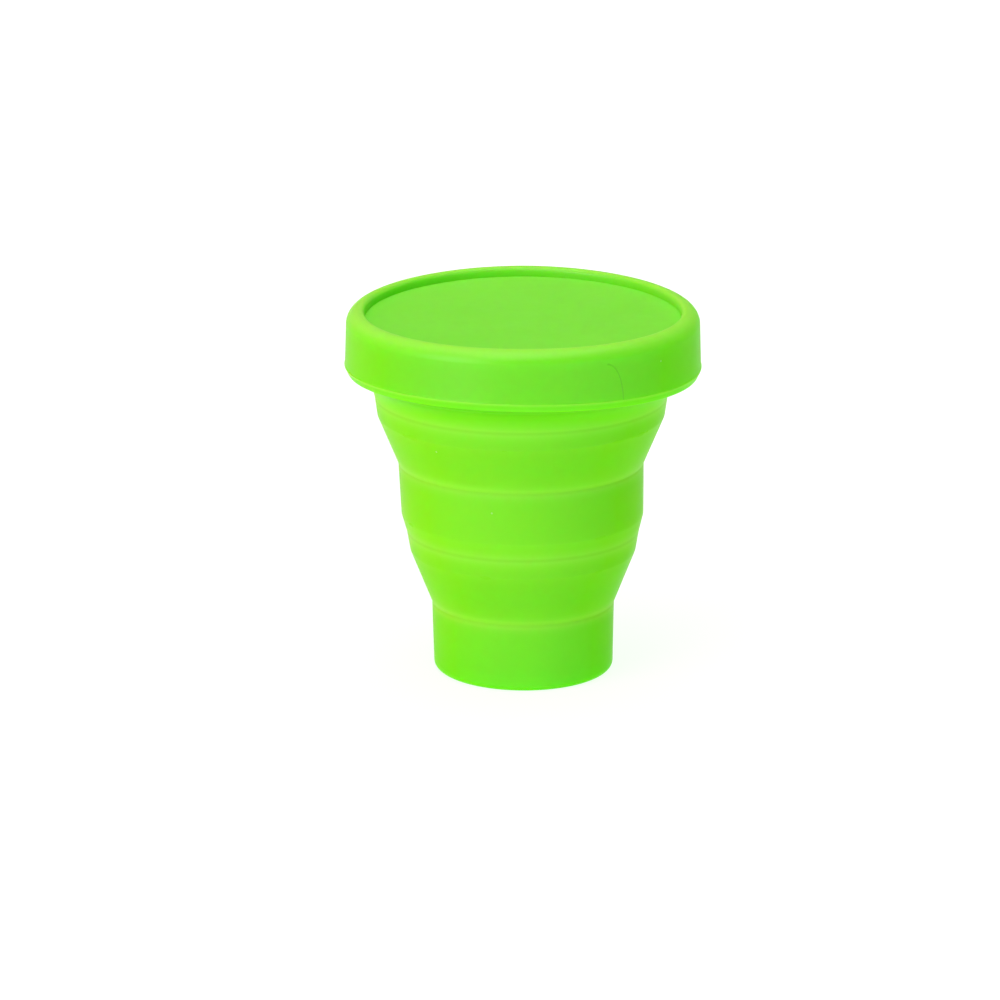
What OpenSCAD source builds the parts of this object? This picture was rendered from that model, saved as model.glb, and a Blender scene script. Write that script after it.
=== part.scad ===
// Collapsible travel cup. One soft moulding stands as a stepped cup, and a second one is its lid.
// Two conical webs fold inside out, so that the foot and the middle ring sink into the neck.
// Everything is round about Z. The foot stands on z = 0, and radii are outside radii.

/* [Foot] */
// Radius of the foot just above its rounded edge
foot_r = 22.3; // [21.5:0.1:22.7]
// Height of the foot, up to the lower fold
foot_h = 17.4; // [14:0.1:20]
// Radius of the rounded edge that the cup stands on
foot_round = 1.8; // [0.5:0.1:2.4]
// Thickness of the cup's floor
floor_t = 2.6; // [2.5:0.1:4]
// Radius of the shallow recess under the floor
recess_r = 17; // [12:0.5:19]
// Depth of the recess under the floor
recess_depth = 0.7; // [0.3:0.1:1]

/* [Lower tier] */
// Radius at the bottom of the lower fold
lower_fold_foot_r = 22.75; // [22.7:0.05:23.2]
// Radius at the top of the lower fold
lower_fold_top_r = 28.1; // [27:0.1:28.5]
// Height of the lower fold
lower_fold_h = 13.5; // [12:0.1:15]
// Height of the stiff collar above the lower fold
lower_collar_h = 5; // [3:0.1:6]

/* [Middle ring] */
// Radius at the bottom of the shoulder
shoulder_foot_r = 28.95; // [28.5:0.05:29.4]
// Radius at the top of the shoulder
shoulder_top_r = 30.1; // [29.5:0.05:30.3]
// Height of the shoulder
shoulder_h = 4.3; // [3:0.1:6]
// Height of the nearly straight ring above the shoulder
ring_h = 13.2; // [11:0.1:15]

/* [Upper tier] */
// Radius at the bottom of the upper fold
upper_fold_foot_r = 30.45; // [30.3:0.05:31]
// Radius at the top of the upper fold
upper_fold_top_r = 35.55; // [34.5:0.05:36]
// Height of the upper fold
upper_fold_h = 12.3; // [11:0.1:14]
// Height of the stiff collar above the upper fold
upper_collar_h = 4.6; // [3:0.1:6]

/* [Neck and rim] */
// Radius at the bottom of the neck
neck_foot_r = 36.2; // [36:0.05:36.8]
// Height of the neck's hollow flare
neck_h = 6.7; // [6:0.1:8]
// Lean of the flare from the vertical at its foot, in degrees
neck_foot_lean = 14; // [8:1:20]
// Radius of the upright rim
rim_r = 41.5; // [41:0.1:41.7]
// Height of the upright rim
rim_h = 11.2; // [9:0.1:13]

/* [Walls] */
// Thickness of the stiff walls
wall_t = 2.3; // [1.8:0.1:2.6]
// Thickness of the two folding webs
web_t = 1.3; // [1:0.1:1.6]
// Clearance between a web and the stiff ring above it
web_gap = 0.1; // [0.05:0.05:0.3]

/* [Lid] */
// Widest radius of the lid, at the edge between its lip and its skirt
lid_r = 44; // [43.8:0.1:45]
// Radius of the lid where its rounded bead begins
bead_foot_r = 43.6; // [43.4:0.1:43.8]
// Clearance between the lid and the cup's rim
lid_gap = 0.3; // [0.2:0.05:0.4]
// How far the lip hangs below the widest edge
lip_h = 1.9; // [1:0.1:2.5]
// How far the lip's outside draws in at the bottom
lip_chamfer = 0.8; // [0.4:0.1:1.2]
// Height of the lid's skirt
skirt_h = 8.9; // [6:0.1:10]
// Radius of the recessed panel
panel_r = 39.1; // [38.5:0.1:39.3]
// Thickness of the recessed panel
panel_t = 1.8; // [1.2:0.1:2.4]
// Height of the bead that rings the panel
bead_h = 4.3; // [4:0.1:5]

/* [Hidden] */

// Heights of the joins between the zones of the cup
lower_fold_z = foot_h;
lower_collar_z = lower_fold_z + lower_fold_h;
shoulder_z = lower_collar_z + lower_collar_h;
ring_z = shoulder_z + shoulder_h;
upper_fold_z = ring_z + ring_h;
upper_collar_z = upper_fold_z + upper_fold_h;
neck_z = upper_collar_z + upper_collar_h;
rim_z = neck_z + neck_h;
rim_top_z = rim_z + rim_h;

// Heights of the lid's zones
panel_z = rim_top_z + lid_gap;
skirt_z = panel_z - skirt_h;
lip_z = skirt_z - lip_h;

// Inside radius of the lid's skirt, and the lip's outside at the bottom
skirt_bore_r = rim_r + lid_gap;
lip_foot_r = lid_r - lip_chamfer;

// Rounding of the bead: a large arc outside meets a small one inside, at the crest
bead_round_in = 1.1;
bead_round_out = bead_foot_r - panel_r - bead_round_in;

cup_green = [0.47, 0.92, 0.18];
fold_green = [0.55, 0.95, 0.25];
lid_green = [0.44, 0.88, 0.18];
arc_steps = 6;
$fn = 96;

// Points of an arc about [r, z] from angle a0 to a1, measured from the outward radius
function arc(centre, radius, a0, a1) = [
    for (i = [0:arc_steps])
        let (a = a0 + (a1 - a0) * i / arc_steps)
            centre + radius * [cos(a), sin(a)]
];

// The flare's outline: one arc from a small lean at its foot to a large lean under the rim
function neck_outline() =
    let (
        rise = [rim_r - neck_foot_r, neck_h],
        chord_lean = atan2(rise[0], rise[1]),
        turn = chord_lean - neck_foot_lean,
        radius = norm(rise) / (2 * sin(turn)),
        centre = [neck_foot_r + radius * cos(neck_foot_lean), neck_z - radius * sin(neck_foot_lean)]
    )
    arc(centre, radius, 180 - neck_foot_lean, 180 - neck_foot_lean - 2 * turn);

// A ring whose outside follows the points, with its wall measured level, from foot to top
module walled_ring(outside, foot_wall_t, top_wall_t) {
    last = len(outside) - 1;
    foot_z = outside[0][1];
    height = outside[last][1] - foot_z;
    inside = [
        for (i = [last:-1:0])
            let (part = (outside[i][1] - foot_z) / height)
                outside[i] - [foot_wall_t + (top_wall_t - foot_wall_t) * part, 0]
    ];
    rotate_extrude() polygon(concat(outside, inside));
}

// A plain conical ring between two heights
module cone_ring(foot_radius, foot_z, top_radius, top_z, foot_wall_t, top_wall_t) {
    walled_ring([[foot_radius, foot_z], [top_radius, top_z]], foot_wall_t, top_wall_t);
}

module cup_floor() {
    color(cup_green)
        rotate_extrude()
            polygon(concat(
                [[0, recess_depth], [recess_r - recess_depth, recess_depth], [recess_r, 0]],
                arc([foot_r - foot_round, foot_round], foot_round, -90, 0),
                [[foot_r, floor_t], [0, floor_t]]
            ));
}

module foot_wall() {
    color(cup_green)
        cone_ring(foot_r, floor_t, lower_fold_foot_r, lower_fold_z, wall_t, wall_t);
}

module lower_fold() {
    color(fold_green)
        cone_ring(lower_fold_foot_r, lower_fold_z, lower_fold_top_r, lower_collar_z - web_gap, web_t, web_t);
}

module lower_collar() {
    color(cup_green)
        cone_ring(lower_fold_top_r, lower_collar_z, shoulder_foot_r, shoulder_z, web_t, wall_t);
}

module middle_shoulder() {
    color(cup_green)
        cone_ring(shoulder_foot_r, shoulder_z, shoulder_top_r, ring_z, wall_t, wall_t);
}

module middle_ring() {
    color(cup_green)
        cone_ring(shoulder_top_r, ring_z, upper_fold_foot_r, upper_fold_z, wall_t, wall_t);
}

module upper_fold() {
    color(fold_green)
        cone_ring(upper_fold_foot_r, upper_fold_z, upper_fold_top_r, upper_collar_z - web_gap, web_t, web_t);
}

module upper_collar() {
    color(cup_green)
        cone_ring(upper_fold_top_r, upper_collar_z, neck_foot_r, neck_z, web_t, wall_t);
}

module cup_neck() {
    color(cup_green)
        walled_ring(neck_outline(), wall_t, wall_t);
}

module cup_rim() {
    color(cup_green)
        cone_ring(rim_r, rim_z, rim_r, rim_top_z, wall_t, wall_t);
}

module lid_panel() {
    color(lid_green)
        translate([0, 0, panel_z])
            cylinder(h = panel_t, r = panel_r);
}

module lid_bead() {
    crest_z = panel_z + bead_h;
    color(lid_green)
        rotate_extrude()
            polygon(concat(
                [[panel_r, panel_z], [bead_foot_r, panel_z]],
                arc([bead_foot_r - bead_round_out, crest_z - bead_round_out], bead_round_out, 0, 90),
                arc([panel_r + bead_round_in, crest_z - bead_round_in], bead_round_in, 90, 180)
            ));
}

module lid_skirt() {
    color(lid_green)
        cone_ring(lid_r, skirt_z, bead_foot_r, panel_z, lid_r - skirt_bore_r, bead_foot_r - skirt_bore_r);
}

module lid_lip() {
    color(lid_green)
        cone_ring(lip_foot_r, lip_z, lid_r, skirt_z, lip_foot_r - skirt_bore_r, lid_r - skirt_bore_r);
}

cup_floor();
foot_wall();
lower_fold();
lower_collar();
middle_shoulder();
middle_ring();
upper_fold();
upper_collar();
cup_neck();
cup_rim();
lid_panel();
lid_bead();
lid_skirt();
lid_lip();
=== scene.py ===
import math

import bmesh
import bpy
import numpy as np
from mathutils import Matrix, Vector


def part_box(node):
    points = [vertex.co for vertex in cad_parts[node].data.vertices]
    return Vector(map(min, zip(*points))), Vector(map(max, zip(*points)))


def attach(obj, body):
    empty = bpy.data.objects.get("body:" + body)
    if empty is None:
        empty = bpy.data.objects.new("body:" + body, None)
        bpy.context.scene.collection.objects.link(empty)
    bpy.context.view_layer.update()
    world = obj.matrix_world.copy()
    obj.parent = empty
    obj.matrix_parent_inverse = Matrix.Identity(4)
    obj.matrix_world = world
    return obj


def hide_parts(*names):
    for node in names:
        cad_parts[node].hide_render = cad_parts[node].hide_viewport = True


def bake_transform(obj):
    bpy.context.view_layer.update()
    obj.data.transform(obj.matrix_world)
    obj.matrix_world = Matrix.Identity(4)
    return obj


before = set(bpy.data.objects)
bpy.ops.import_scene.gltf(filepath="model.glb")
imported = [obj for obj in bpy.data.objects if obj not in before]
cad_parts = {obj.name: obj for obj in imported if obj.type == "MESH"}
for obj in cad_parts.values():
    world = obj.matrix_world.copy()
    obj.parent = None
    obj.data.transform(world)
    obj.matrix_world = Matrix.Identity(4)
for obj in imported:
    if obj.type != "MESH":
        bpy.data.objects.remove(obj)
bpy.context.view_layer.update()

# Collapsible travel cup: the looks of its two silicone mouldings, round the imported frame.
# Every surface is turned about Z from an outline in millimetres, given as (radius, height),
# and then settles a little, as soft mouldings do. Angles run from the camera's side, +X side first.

MM = 0.001


# ---------------------------------------------------------------- sizes, from the frame


def zone(node):
    """Foot height, top height and outside radius of a CAD zone, in millimetres."""
    low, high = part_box(node)
    return low.z / MM, high.z / MM, max(high.x, high.y) / MM


_, FLOOR_TOP, FOOT_R = zone("cup_floor")
_, WAIST_Z, WAIST_R = zone("foot_wall")
LOWER_RIDGE_Z, COLLAR_Z, COLLAR_R = zone("lower_collar")
LOWER_RIDGE_R = zone("lower_fold")[2]
_, RING_Z, SHOULDER_R = zone("middle_shoulder")
_, RING_TOP_Z, RING_R = zone("middle_ring")
UPPER_RIDGE_Z, NECK_Z, NECK_R = zone("upper_collar")
UPPER_RIDGE_R = zone("upper_fold")[2]
RIM_Z, RIM_TOP_Z, RIM_R = zone("cup_rim")
PANEL_Z, PANEL_TOP_Z, PANEL_R = zone("lid_panel")
_, CREST_Z, BEAD_R = zone("lid_bead")
LIP_Z, PARTING_Z, LID_R = zone("lid_lip")

# The thickness of the stiff wall and of the folding webs, and the hollow under the foot.
WALL, WEB = 2.3, 1.3
RECESS_R, RECESS_DEPTH = 17.0, 0.7
FLARE_FOOT_LEAN = math.radians(14)
LID_BORE_R = RIM_R + PANEL_Z - RIM_TOP_Z
LIP_FOOT_R = LID_R - 0.8

VALLEYS = (WAIST_Z, COLLAR_Z, RING_TOP_Z, NECK_Z)
RIDGES = (LOWER_RIDGE_Z, RING_Z, UPPER_RIDGE_Z)
# How far, in millimetres of height, each of the wall's marks reaches.
VALLEY_REACH, NIP_REACH, RIDGE_REACH = 1.6, 0.25, 1.0
PARTING_REACH, CREST_REACH = 0.22, 2.0
# The cup is shaded under the lid's lip, round this height, and at the foot's edge, up to this height.
LIP_SHADE_Z, LIP_SHADE_REACH = RIM_Z + 0.5, 3.2
FOOT_SHADE_TOP, FOOT_SHADE = 1.6, 0.75
# Painted glow for light shining through the wall, as (height, share) pairs: most where it bends and is
# thin.
PAINTED_GLOW_SHARES = (
    (0, 0.1), (14, 0.35), (WAIST_Z, 0.5), (24, 0.3), (LOWER_RIDGE_Z, 0.45), (COLLAR_Z, 0.8),
    (RING_Z, 0.65), (RING_TOP_Z, 0.6), (60, 0.4), (UPPER_RIDGE_Z, 0.5), (NECK_Z, 0.7), (RIM_Z, 0.2),
)


# ---------------------------------------------------------------- outlines


ARC_STEP_DEG = 7.0
STRAIGHT_STEP = 0.8
FLAT_STEP = 1.6


def rounded(corners):
    """A polyline through (radius, height, rounding) corners, with each rounding an arc."""
    path = []
    for i, (r, z, rounding) in enumerate(corners):
        here = Vector((r, z))
        if rounding == 0 or i in (0, len(corners) - 1):
            path.append(here)
            continue
        back = (Vector(corners[i - 1][:2]) - here).normalized()
        ahead = (Vector(corners[i + 1][:2]) - here).normalized()
        half = back.angle(ahead) / 2
        middle = here + (back + ahead).normalized() * rounding / math.sin(half)
        first = here + back * rounding / math.tan(half) - middle
        bulge = here - middle
        turn = 2 * math.atan2(first.x * bulge.y - first.y * bulge.x, first.dot(bulge))
        steps = max(2, math.ceil(abs(math.degrees(turn)) / ARC_STEP_DEG))
        for k in range(steps + 1):
            c, s = math.cos(turn * k / steps), math.sin(turn * k / steps)
            path.append(middle + Vector((first.x * c - first.y * s, first.x * s + first.y * c)))
    return path


def filled(path):
    """The same polyline with its long straight runs divided."""
    out = [path[0]]
    for a, b in zip(path, path[1:]):
        level = abs(b.y - a.y) < 1e-6
        parts = max(1, math.ceil((b - a).length / (FLAT_STEP if level else STRAIGHT_STEP)))
        out += [a.lerp(b, k / parts) for k in range(1, parts + 1)]
    return out


def between(path, low, high):
    """The stretch of a polyline between two heights, with its ends cut exactly there."""
    out = []
    for a, b in zip(path, path[1:]):
        cuts = [0.0, 1.0]
        for level in (low, high):
            if min(a.y, b.y) < level < max(a.y, b.y):
                cuts.append((level - a.y) / (b.y - a.y))
        cuts.sort()
        for s, t in zip(cuts, cuts[1:]):
            if low <= a.lerp(b, (s + t) / 2).y <= high:
                out += [a.lerp(b, s), a.lerp(b, t)]
    return [p for i, p in enumerate(out) if i == 0 or (p - out[i - 1]).length > 1e-6]


def flare_corner():
    """Where the tangents at the two ends of the neck's flare meet."""
    rise = Vector((RIM_R - NECK_R, RIM_Z - NECK_Z))
    chord_lean = math.atan2(rise.x, rise.y)
    reach = rise.length / (2 * math.cos(chord_lean - FLARE_FOOT_LEAN))
    lean = Vector((math.sin(FLARE_FOOT_LEAN), math.cos(FLARE_FOOT_LEAN)))
    return Vector((NECK_R, NECK_Z)) + reach * lean


FLARE = flare_corner()

CUP_OUTSIDE = rounded([
    (0, RECESS_DEPTH, 0),
    (RECESS_R - RECESS_DEPTH, RECESS_DEPTH, 0.5),
    (RECESS_R, 0, 0.4),
    (FOOT_R, 0, 1.8),
    (WAIST_R, WAIST_Z, 0.7),
    (LOWER_RIDGE_R, LOWER_RIDGE_Z, 1.8),
    (COLLAR_R, COLLAR_Z, 1.0),
    (SHOULDER_R, RING_Z, 2.4),
    (RING_R, RING_TOP_Z, 0.7),
    (UPPER_RIDGE_R, UPPER_RIDGE_Z, 1.8),
    (NECK_R, NECK_Z, 1.2),
    (FLARE.x, FLARE.y, 9.0),
    (RIM_R, RIM_Z, 0.6),
    (RIM_R, RIM_TOP_Z, 1.1),
    (RIM_R - WALL / 2, RIM_TOP_Z, 0),
])
CUP_INSIDE = rounded([
    (RIM_R - WALL / 2, RIM_TOP_Z, 0),
    (RIM_R - WALL, RIM_TOP_Z, 1.1),
    (RIM_R - WALL, RIM_Z, 2.5),
    (FLARE.x - WALL, FLARE.y, 5.0),
    (NECK_R - WALL, NECK_Z, 1.5),
    (UPPER_RIDGE_R - WEB, UPPER_RIDGE_Z, 1.5),
    (RING_R - WEB, RING_TOP_Z, 0.4),
    (RING_R - WALL, RING_TOP_Z - 1.2, 0.6),
    (SHOULDER_R - WALL, RING_Z, 2.0),
    (COLLAR_R - WALL, COLLAR_Z, 1.0),
    (LOWER_RIDGE_R - WEB, LOWER_RIDGE_Z, 1.5),
    (WAIST_R - WEB, WAIST_Z, 0.4),
    (WAIST_R - WALL, WAIST_Z - 1.2, 0.6),
    (FOOT_R - WALL, FLOOR_TOP, 3.0),
    (0, FLOOR_TOP, 0),
])
LID_RING = rounded([
    (PANEL_R, PANEL_Z, 0),
    (PANEL_R, CREST_Z - 0.12, 1.1),
    (BEAD_R, CREST_Z - 0.12, 3.35),
    (BEAD_R + 0.05, PANEL_Z + 0.5, 2.5),
    (LID_R - 0.02, PARTING_Z + 0.35, 0.3),
    (LID_R + 0.14, PARTING_Z + 0.10, 0.06),
    (LID_R + 0.08, PARTING_Z - 0.12, 0.06),
    (LIP_FOOT_R, LIP_Z, 0.35),
    (LID_BORE_R, LIP_Z, 0.5),
    (LID_BORE_R, PANEL_Z, 0.8),
    (PANEL_R, PANEL_Z, 0),
])
LID_DISC = [Vector(p) for p in (
    (0, PANEL_Z), (PANEL_R, PANEL_Z), (PANEL_R, PANEL_TOP_Z), (0, PANEL_TOP_Z),
)]


# ---------------------------------------------------------------- how the soft walls settle


# How far the cup's axis stands off to +X, as (height, millimetres) pairs.
LEAN = (
    (0, 0.2), (WAIST_Z, 0.1), (COLLAR_Z, 0.0), (RING_TOP_Z, -0.5), (NECK_Z, -0.45),
    (RIM_Z, -0.15), (RIM_TOP_Z, 0.0),
)
# How far the cup is out of round: the waves round it, their size in millimetres, where they start,
# and how they turn with height.
OUT_OF_ROUND = ((2, 0.05, 0.0, 0.06), (3, 0.03, 1.3, -0.09))
# How far the skirt's foot hangs, in millimetres: its mean, then (cosine, sine) shares of one and of
# two waves round the lid.
SKIRT_SAG = 1.0
SAG_ROUND = ((-0.5, 0.26), (-0.53, 0.16))
SAG_TOP_Z = PANEL_Z + 1
SKIRT_OVAL, SKIRT_OVAL_START = 0.0008, 0.4
# How far the lid's top bends down at -X and +X, and how its bend grows on the way there.
TOP_BEND, TOP_BEND_POWER = 0.66, 1.5


def smooth(t):
    """0 up to t = 0, 1 from t = 1, and a smooth step between them."""
    t = min(1.0, max(0.0, t))
    return t * t * (3 - 2 * t)


def read_off(pairs, height):
    """The value at a height in a table of (height, value) pairs, straight between its rows."""
    heights, values = zip(*pairs)
    return np.interp(height, heights, values)


def cup_settles(v):
    """The open cup leans by a fraction of a millimetre, and no ring of it is quite round."""
    angle = math.atan2(v.x, -v.y)
    height = v.z / MM
    out = sum(size * math.sin(waves * angle + start + turn * height)
              for waves, size, start, turn in OUT_OF_ROUND)
    grow = out / max(1.0, math.hypot(v.x, v.y) / MM)
    if height > RIM_Z:
        grow *= smooth((RIM_TOP_Z - height) / (RIM_TOP_Z - RIM_Z))
    lean = read_off(LEAN, height) * MM
    return Vector((v.x * (1 + grow) + lean, v.y * (1 + grow), v.z))


def lid_settles(v):
    """The lid's top bends down towards -X and +X, and its skirt hangs lower there, most on +X."""
    angle = math.atan2(v.x, -v.y)
    height = v.z / MM
    loose = smooth((SAG_TOP_Z - height) / (SAG_TOP_Z - PARTING_Z))
    drop = SKIRT_SAG + sum(c * math.cos(k * angle) + s * math.sin(k * angle)
                           for k, (c, s) in enumerate(SAG_ROUND, 1))
    grow = 1 + SKIRT_OVAL * math.sin(2 * angle + SKIRT_OVAL_START) * loose
    bend = TOP_BEND * min(1.0, abs(v.x) / (LID_R * MM)) ** TOP_BEND_POWER
    bend *= smooth((height - PANEL_Z) / (PANEL_TOP_Z - PANEL_Z))
    return Vector((v.x * grow, v.y * grow, v.z - (drop * loose + bend) * MM))


# ---------------------------------------------------------------- meshes


MARKS = ("skin", "thin", "valley", "nip", "ridge", "shade", "parting", "crest")
TURN_STEPS = 288
SHARP_DEG = 50.0
JOIN_REACH = 3.0


def cup_shade(height):
    """How much darker the cup's wall is: under the lid's lip, and at the edge it stands on."""
    if height < FOOT_SHADE_TOP:
        return FOOT_SHADE * (1 - height / FOOT_SHADE_TOP)
    if height < RIM_TOP_Z:
        return closeness(height, (LIP_SHADE_Z,), LIP_SHADE_REACH)
    return 0.0


def marks_at(p, joins, is_cup):
    """How strongly each mark shows at an outline point. skin is 0 on a join, and 1 away from it."""
    gap = min([distance(p, *join) for join in joins], default=JOIN_REACH)
    return {
        "skin": smooth(gap / JOIN_REACH),
        "thin": read_off(PAINTED_GLOW_SHARES, p.y),
        "valley": closeness(p.y, VALLEYS, VALLEY_REACH),
        "nip": closeness(p.y, VALLEYS, NIP_REACH),
        "ridge": closeness(p.y, RIDGES, RIDGE_REACH),
        "shade": cup_shade(p.y) if is_cup else 0.0,
        "parting": closeness(p.y, (PARTING_Z,), PARTING_REACH),
        "crest": closeness(p.y, (CREST_Z,), CREST_REACH),
    }


def turned(name, path, settles, joins=(), is_cup=False):
    """A closed mesh turned about Z from an outline whose ends meet, or both lie on the axis.
    joins are the flat faces, as pairs of outline points, where the next piece goes on."""
    path = filled(path)
    if (path[0] - path[-1]).length < 1e-6:
        path = path[:-1]
    closed = path[0].x > 1e-6
    angles = [2 * math.pi * k / TURN_STEPS for k in range(TURN_STEPS)]
    count = len(angles)
    bm = bmesh.new()
    layers = {key: bm.verts.layers.float.new(key) for key in MARKS}
    rest = bm.verts.layers.float_vector.new("rest")
    rings = []
    for p in path:
        if p.x < 1e-6:
            ring = [bm.verts.new((0, 0, p.y * MM))]
        else:
            ring = [bm.verts.new((p.x * math.sin(a) * MM, -p.x * math.cos(a) * MM, p.y * MM))
                    for a in angles]
        marks = marks_at(p, joins, is_cup)
        for v in ring:
            for key, value in marks.items():
                v[layers[key]] = value
            v[rest] = v.co
        rings.append(ring)
    pairs = list(zip(rings, rings[1:])) + ([(rings[-1], rings[0])] if closed else [])
    for low, high in pairs:
        for k in range(count):
            n = (k + 1) % count
            if len(low) == 1:
                bm.faces.new((low[0], high[n], high[k]))
            elif len(high) == 1:
                bm.faces.new((low[k], low[n], high[0]))
            else:
                bm.faces.new((low[k], low[n], high[n], high[k]))
    for v in bm.verts:
        v.co = settles(v.co)
    bmesh.ops.recalc_face_normals(bm, faces=bm.faces)
    for face in bm.faces:
        face.smooth = True
    mesh = bpy.data.meshes.new(name)
    bm.to_mesh(mesh)
    bm.free()
    mesh.set_sharp_from_angle(angle=math.radians(SHARP_DEG))
    piece = bpy.data.objects.new(name, mesh)
    bpy.context.scene.collection.objects.link(piece)
    return piece


def distance(p, a, b):
    """How far an outline point is from the straight line between two others."""
    along = max(0.0, min(1.0, (p - a).dot(b - a) / (b - a).length_squared))
    return (a.lerp(b, along) - p).length


def closeness(height, levels, reach):
    """1 at the nearest of the levels, falling to 0 within a few times the reach."""
    return math.exp(-min(abs(height - level) for level in levels) ** 2 / reach ** 2)


def cup_ring(name, low, high):
    """The stretch of the cup's wall between two heights, as a closed mesh."""
    outside = between(CUP_OUTSIDE, low, high)
    inside = between(CUP_INSIDE, low, high)
    joins = []
    if low > 0:
        joins.append((outside[0], inside[-1]))
    if high < RIM_TOP_Z:
        joins.append((outside[-1], inside[0]))
    loop = outside + inside
    if loop[0].x > 1e-6:
        loop.append(loop[0])
    return turned(name, loop, cup_settles, joins, is_cup=True)


# ---------------------------------------------------------------- materials


# The crease in the lid's skirt, in millimetres: how far round its middle is, its half width, height
# and line. And where a noise, from 0 to 1, is stretched to its full range.
CREASE_AT, CREASE_HALF_WIDTH, CREASE_HEIGHT, CREASE_LINE = 21.3, 4.4, 8.9, 0.16
NOISE_RANGE = (0.3, 0.7)
# The painted light and shade on the silicone: the mark, how strongly it is painted, factors on the base
# colour, and what is added to its blue.
PAINTED_LIGHT_AND_SHADE = (
    # Painted glow of light shining through the thin web of each valley.
    ("valley", 0.6, (2.0, 1.02, 1.0), 0.045),
    # Painted shade in the fold of each valley.
    ("nip", 0.45, (1.3, 0.88, 1.0), 0.0),
    # Painted shadow under the lid's lip and at the foot's edge.
    ("shade", 0.75, (0.65, 0.68, 1.0), 0.0),
    # Painted highlights: on the ridges, round the lid's crest and along its parting line.
    ("ridge", 0.15, (1.8, 1.08, 1.0), 0.02),
    ("crest", 0.6, (2.3, 1.05, 1.0), 0.09),
    ("parting", 0.5, (2.2, 1.118, 1.0), 0.06),
)
# Painted glow: the yellower green for light shining through the thin wall.
PAINTED_THROUGH_GLOW = (1.7, 1.02, 1.0)
# Painted shade along the lid's crease.
PAINTED_CREASE_SHADE = (0.4, 0.55, 1.0)
DUST, GRIT = (0.75, 0.9, 0.6, 1), (0.05, 0.25, 0.01, 1)
LIGHT_REACH = (0.45, 1.0, 0.12)
EDGE_GLOSS = 0.02


class Graph:
    """Short names for building one material's nodes."""

    def __init__(self, name):
        self.material = bpy.data.materials.new(name)
        self.material.use_nodes = True
        self.tree = self.material.node_tree
        self.shader = self.tree.nodes["Principled BSDF"]

    def node(self, kind, inputs=(), **settings):
        made = self.tree.nodes.new("ShaderNode" + kind)
        for key, value in settings.items():
            setattr(made, key, value)
        for key, value in dict(inputs).items():
            self.put(value, made.inputs[key])
        return made

    def put(self, value, socket):
        if isinstance(value, bpy.types.NodeSocket):
            self.tree.links.new(value, socket)
        else:
            socket.default_value = value

    def mark(self, name, out="Fac"):
        return self.node("Attribute", attribute_name=name).outputs[out]

    def maths(self, operation, a, b=0.0, c=0.0):
        made = self.node("Math", {0: a, 1: b, 2: c}, operation=operation)
        return made.outputs[0]

    def noise(self, place, scale, detail=2.0, roughness=0.5):
        made = self.node("TexNoise", {"Vector": place, "Scale": scale, "Detail": detail,
                                      "Roughness": roughness})
        return made.outputs["Fac"]

    def stretched(self, place, by):
        return self.node("VectorMath", {0: place, 1: by}, operation="MULTIPLY").outputs[0]

    def mixed(self, share, a, b, blend="MIX"):
        made = self.node("Mix", data_type="RGBA", blend_type=blend)
        self.put(share, made.inputs["Factor"])
        self.put(a, made.inputs[6])
        self.put(b, made.inputs[7])
        return made.outputs[2]

    def ramp(self, value, low, high, to_low=0.0, to_high=1.0):
        made = self.node("MapRange", {"Value": value, "From Min": low, "From Max": high,
                                      "To Min": to_low, "To Max": to_high})
        return made.outputs["Result"]

    def specks(self, place, per_metre, radius, share):
        """1 inside sparse round dots: radius is in cells, and share is how many cells have one."""
        cells = self.node("TexVoronoi", {"Vector": place, "Scale": per_metre})
        dot = self.ramp(cells.outputs["Distance"], radius, radius * 0.5)
        picked = self.node("SeparateColor", {0: cells.outputs["Color"]}).outputs[0]
        chosen = self.maths("GREATER_THAN", picked, 1 - share)
        return self.maths("MULTIPLY", dot, chosen)

    def bump(self, height, distance, normal=None):
        made = self.node("Bump", {"Height": height, "Distance": distance, "Strength": 1.0})
        if normal is not None:
            self.put(normal, made.inputs["Normal"])
        return made.outputs["Normal"]


def hair_crease(g, place):
    """1 along a hair-thin crease in the lid's skirt: a quarter of an ellipse, in the rolled-out wall."""
    x, y, z = (g.node("SeparateXYZ", {0: place}).outputs[k] for k in range(3))
    turn = g.maths("ARCTAN2", x, g.maths("MULTIPLY", y, -1.0))
    along = g.maths("MULTIPLY_ADD", turn, LID_R / CREASE_HALF_WIDTH, -CREASE_AT / CREASE_HALF_WIDTH)
    up = g.maths("MULTIPLY_ADD", z, 1 / (CREASE_HEIGHT * MM), -PARTING_Z / CREASE_HEIGHT)
    out = g.maths("SQRT", g.maths("ADD", g.maths("MULTIPLY", along, along), g.maths("MULTIPLY", up, up)))
    off = g.maths("ABSOLUTE", g.maths("SUBTRACT", out, 1.0))
    line = g.ramp(off, 0.0, CREASE_LINE / CREASE_HALF_WIDTH, 1.0, 0.0)
    quarter = g.maths("MULTIPLY", g.maths("GREATER_THAN", along, 0.0), g.maths("GREATER_THAN", up, 0.02))
    return g.maths("MULTIPLY", line, quarter)


def tinted(colour, factors, more_blue=0.0):
    red, green, blue = (c * f for c, f in zip(colour, factors))
    return red, green, blue + more_blue, 1


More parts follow.
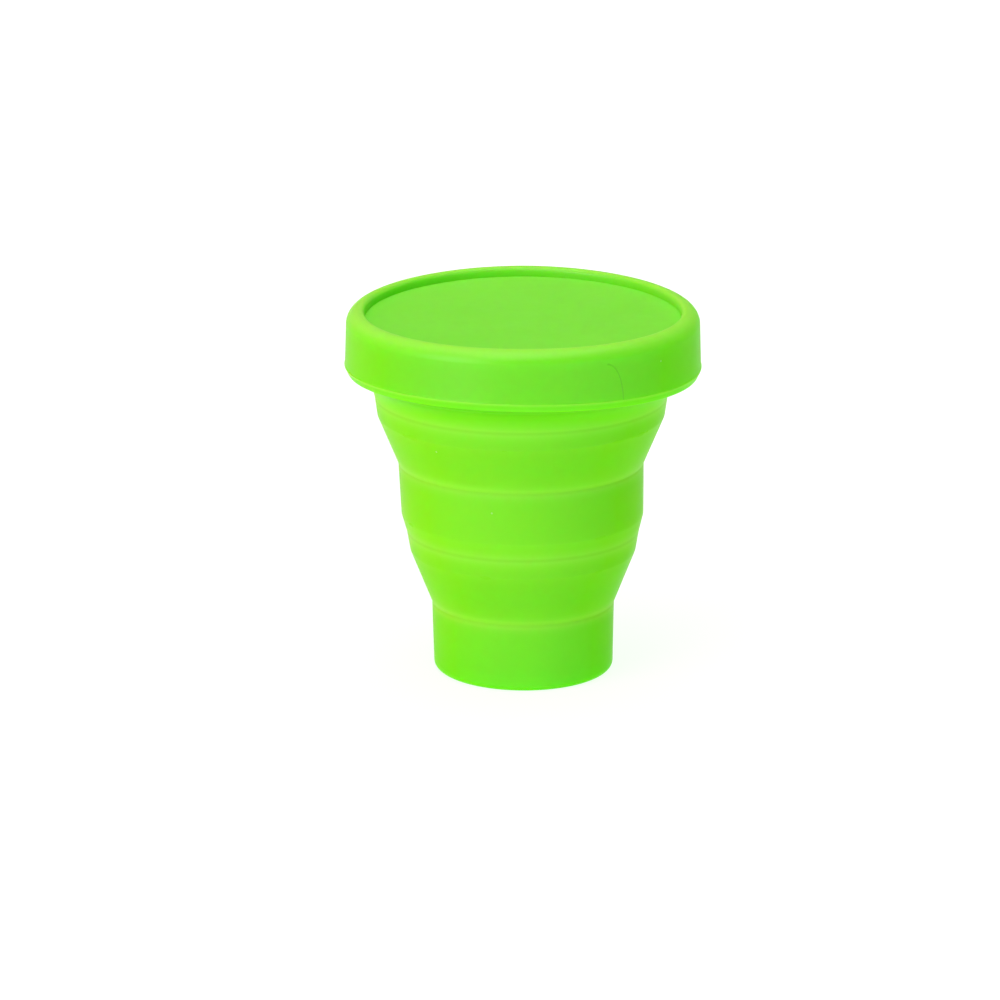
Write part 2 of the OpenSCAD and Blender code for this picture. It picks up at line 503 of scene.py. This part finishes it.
def silicone_colour(g, place, mid, crease):
    """A cloudy green with painted light: a yellower glow where light would shine through, painted glow,
    shade and highlights at the marks, painted shade in the crease, and dust on it.
    """
    pale = (*(min(1.0, c * 1.03 + 0.004) for c in mid), 1)
    deep = tinted(mid, (0.97, 0.97, 0.97))
    colour = g.mixed(g.ramp(g.noise(place, 38, 3), *NOISE_RANGE), deep, pale)
    mottle = g.ramp(g.noise(place, 420, 2), *NOISE_RANGE, 0.99, 1.01)
    grey = g.node("CombineColor", {0: mottle, 1: mottle, 2: mottle}).outputs[0]
    colour = g.mixed(1.0, colour, grey, "MULTIPLY")

    # Painted glow: yellower where light would shine through the thin wall and its valleys.
    thin = g.maths("MAXIMUM", g.mark("thin"), g.maths("MULTIPLY", g.mark("valley"), 0.95))
    colour = g.mixed(thin, colour, tinted(mid, PAINTED_THROUGH_GLOW))
    # Painted glow, shade and highlights at the marks.
    for mark, strength, factors, more_blue in PAINTED_LIGHT_AND_SHADE:
        share = g.maths("MULTIPLY", g.mark(mark), strength)
        colour = g.mixed(share, colour, tinted(mid, factors, more_blue))

    dust = g.specks(place, 150, 0.045, 0.10)
    colour = g.mixed(g.maths("MULTIPLY", dust, 0.35), colour, DUST)
    grit = g.specks(g.stretched(place, (1.1, 0.9, 1.0)), 110, 0.03, 0.08)
    colour = g.mixed(g.maths("MULTIPLY", grit, 0.4), colour, GRIT)
    # Painted shade along the crease.
    if crease:
        colour = g.mixed(g.maths("MULTIPLY", crease, 0.4), colour, tinted(mid, PAINTED_CREASE_SHADE))
    return colour


def silicone_surface(g, place, grain, crease):
    """The bumps: slack in the wall, faint rings of the mould's turning, its grain, and the crease."""
    slack = g.bump(g.noise(place, 55, 1), 0.25 * MM)
    turning = g.bump(g.noise(g.stretched(place, (14, 14, 1500)), 1, 2), 0.012 * MM, slack)
    texture = g.bump(g.noise(place, 3200, 2), grain * MM, turning)
    if crease:
        texture = g.bump(g.maths("SUBTRACT", 1.0, crease), 0.06 * MM, texture)
    return texture


def silicone(name, mid, roughness, gloss, grain, depth, fade=(0.08, 0.40), creased=False):
    """Satin silicone that light goes into. grain is the height of the mould's texture and depth the
    reach of the light, in millimetres. The gloss fades away between the two values of fade, where a
    surface that faces the viewer is at 0 and one seen edge-on at 1."""
    g = Graph(name)
    place = g.mark("rest", "Vector")
    crease = hair_crease(g, place) if creased else None
    g.put(silicone_colour(g, place, mid, crease), g.shader.inputs["Base Color"])
    g.put(silicone_surface(g, place, grain, crease), g.shader.inputs["Normal"])

    rub = g.ramp(g.noise(place, 90, 4), *NOISE_RANGE, roughness - 0.04, roughness + 0.05)
    rub = g.maths("SUBTRACT", rub, g.maths("MULTIPLY", g.mark("ridge"), 0.05))
    g.put(rub, g.shader.inputs["Roughness"])

    facing = g.node("LayerWeight", {"Blend": 0.5}).outputs["Facing"]
    g.shader.inputs["Specular IOR Level"].default_value = gloss
    g.put(g.ramp(facing, *fade, gloss, EDGE_GLOSS), g.shader.inputs["Specular IOR Level"])
    g.shader.inputs["Subsurface Weight"].default_value = 1.0
    g.shader.inputs["Subsurface Radius"].default_value = LIGHT_REACH
    g.put(g.maths("MULTIPLY", g.mark("skin"), depth * MM), g.shader.inputs["Subsurface Scale"])
    return g.material


# ---------------------------------------------------------------- camera, light and floor


CAMERA_DISTANCE, CAMERA_HEIGHT = 1.5, 0.48662
CAMERA_PITCH, CAMERA_YAW = math.radians(16.476), math.radians(0.217)
LENS, SENSOR = 226.55, 36
# Each soft box: its name, azimuth and elevation in degrees, distance and size in metres, radiance, tint.
# Azimuth 0 is the camera's side, and 90 is +X.
SOFT_BOXES = (
    ("key", -48, 14, 1.3, 1.0, 3.0, (1.5, 0.8, 1.3)),
    ("front", -15, 55, 1.3, 1.0, 1.2, (1.4, 0.93, 1.1)),
    ("side", 38, 8, 1.5, 1.2, 0.6, (0.55, 1.0, 0.3)),
    ("top", 180, 84, 1.2, 1.6, 1.9, (1.05, 1.0, 1.0)),
)
FILL, FILL_TINT = 0.12, (0.8, 1, 0.85, 1)
FLOOR_SIZE, FLOOR_DROP = 30, 0.05 * MM
FLOOR_GREY, FLOOR_GLOW = (0.25, 0.25, 0.25, 1), (0.95, 1, 0.95, 1)
# The floor's glow near the cup, where it is faintly shaded, and further off: distances, then strengths.
GLOW_DISTANCES, GLOW_STRENGTHS = (0.12, 0.6), (0.88, 1.1)


def make_camera():
    data = bpy.data.cameras.new("camera")
    data.sensor_width = SENSOR
    data.lens = LENS
    camera = bpy.data.objects.new("camera", data)
    camera.location = (0, -CAMERA_DISTANCE, CAMERA_HEIGHT)
    camera.rotation_euler = (math.pi / 2 - CAMERA_PITCH, 0, CAMERA_YAW)
    bpy.context.scene.collection.objects.link(camera)
    bpy.context.scene.camera = camera


def soft_box(name, azimuth, elevation, distance, size, radiance, tint):
    """A round soft box that faces the cup's middle."""
    a, e = math.radians(azimuth), math.radians(elevation)
    way = Vector((math.sin(a) * math.cos(e), -math.cos(a) * math.cos(e), math.sin(e)))
    target = Vector((0, 0, CREST_Z / 2 * MM))
    data = bpy.data.lights.new(name, "AREA")
    data.shape = "DISK"
    data.size = size
    data.color = tint
    data.energy = radiance * math.pi * math.pi * size ** 2 / 4
    light = bpy.data.objects.new(name, data)
    light.location = target + way * distance
    light.rotation_euler = way.to_track_quat("Z", "Y").to_euler()
    bpy.context.scene.collection.objects.link(light)


def make_light():
    world = bpy.context.scene.world or bpy.data.worlds.new("world")
    bpy.context.scene.world = world
    world.use_nodes = True
    sky = world.node_tree.nodes["Background"]
    sky.inputs["Color"].default_value = FILL_TINT
    sky.inputs["Strength"].default_value = FILL
    for box in SOFT_BOXES:
        soft_box(*box)
    bpy.context.scene.view_settings.view_transform = "Standard"


def make_floor():
    bpy.ops.mesh.primitive_plane_add(size=FLOOR_SIZE, location=(0, 0, -FLOOR_DROP))
    floor = bpy.context.object
    floor.name = "floor"
    g = Graph("floor_white")
    g.shader.inputs["Base Color"].default_value = FLOOR_GREY
    g.shader.inputs["Roughness"].default_value = 1.0
    g.shader.inputs["Specular IOR Level"].default_value = 0.0
    g.shader.inputs["Emission Color"].default_value = FLOOR_GLOW
    away = g.node("VectorMath", {0: g.node("NewGeometry").outputs["Position"]}, operation="LENGTH")
    glow = g.ramp(away.outputs["Value"], *GLOW_DISTANCES, *GLOW_STRENGTHS)
    g.put(glow, g.shader.inputs["Emission Strength"])
    floor.data.materials.append(g.material)


# ---------------------------------------------------------------- the pieces


GREEN = (0.146, 0.85, 0.008)
# Lid panel: less green than the wall, with extra blue as a painted reflection on its upward face.
PANEL_GREEN_AND_PAINTED_REFLECTION = (0.14, 0.79, 0.033)
SEAM = (Vector((PANEL_R, PANEL_Z)), Vector((PANEL_R, PANEL_TOP_Z)))


def finish_piece(piece, material, nodes):
    piece.data.materials.append(material)
    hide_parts(*nodes)


def make_pieces():
    wall = silicone("silicone_wall", GREEN, roughness=0.34, gloss=0.24, grain=0.006, depth=3.0)
    web = silicone("silicone_web", GREEN, roughness=0.34, gloss=0.24, grain=0.006, depth=3.0)
    lid = silicone("silicone_lid", GREEN, roughness=0.36, gloss=0.3, grain=0.008, depth=4.5, creased=True)
    panel = silicone("silicone_panel", PANEL_GREEN_AND_PAINTED_REFLECTION, roughness=0.5, gloss=0.5, grain=0.02, depth=2.0,
                     fade=(0.25, 0.75))

    foot = cup_ring("cup_foot", -1, WAIST_Z)
    finish_piece(foot, wall, ("cup_floor", "foot_wall"))
    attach(foot, "foot")

    lower_web = cup_ring("lower_web", WAIST_Z, COLLAR_Z)
    finish_piece(lower_web, web, ("lower_fold", "lower_collar"))
    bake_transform(lower_web)

    band = cup_ring("middle_band", COLLAR_Z, RING_TOP_Z)
    finish_piece(band, wall, ("middle_shoulder", "middle_ring"))
    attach(band, "middle")

    upper_web = cup_ring("upper_web", RING_TOP_Z, NECK_Z)
    finish_piece(upper_web, web, ("upper_fold", "upper_collar"))
    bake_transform(upper_web)

    mouth = cup_ring("cup_mouth", NECK_Z, RIM_TOP_Z + 1)
    finish_piece(mouth, wall, ("cup_neck", "cup_rim"))
    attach(mouth, "top")

    ring = turned("lid_ring", LID_RING, lid_settles, [SEAM])
    finish_piece(ring, lid, ("lid_bead", "lid_skirt", "lid_lip"))
    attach(ring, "lid")

    disc = turned("lid_disc", LID_DISC, lid_settles, [SEAM])
    finish_piece(disc, panel, ("lid_panel",))
    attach(disc, "lid")


make_camera()
make_light()
make_floor()
make_pieces()
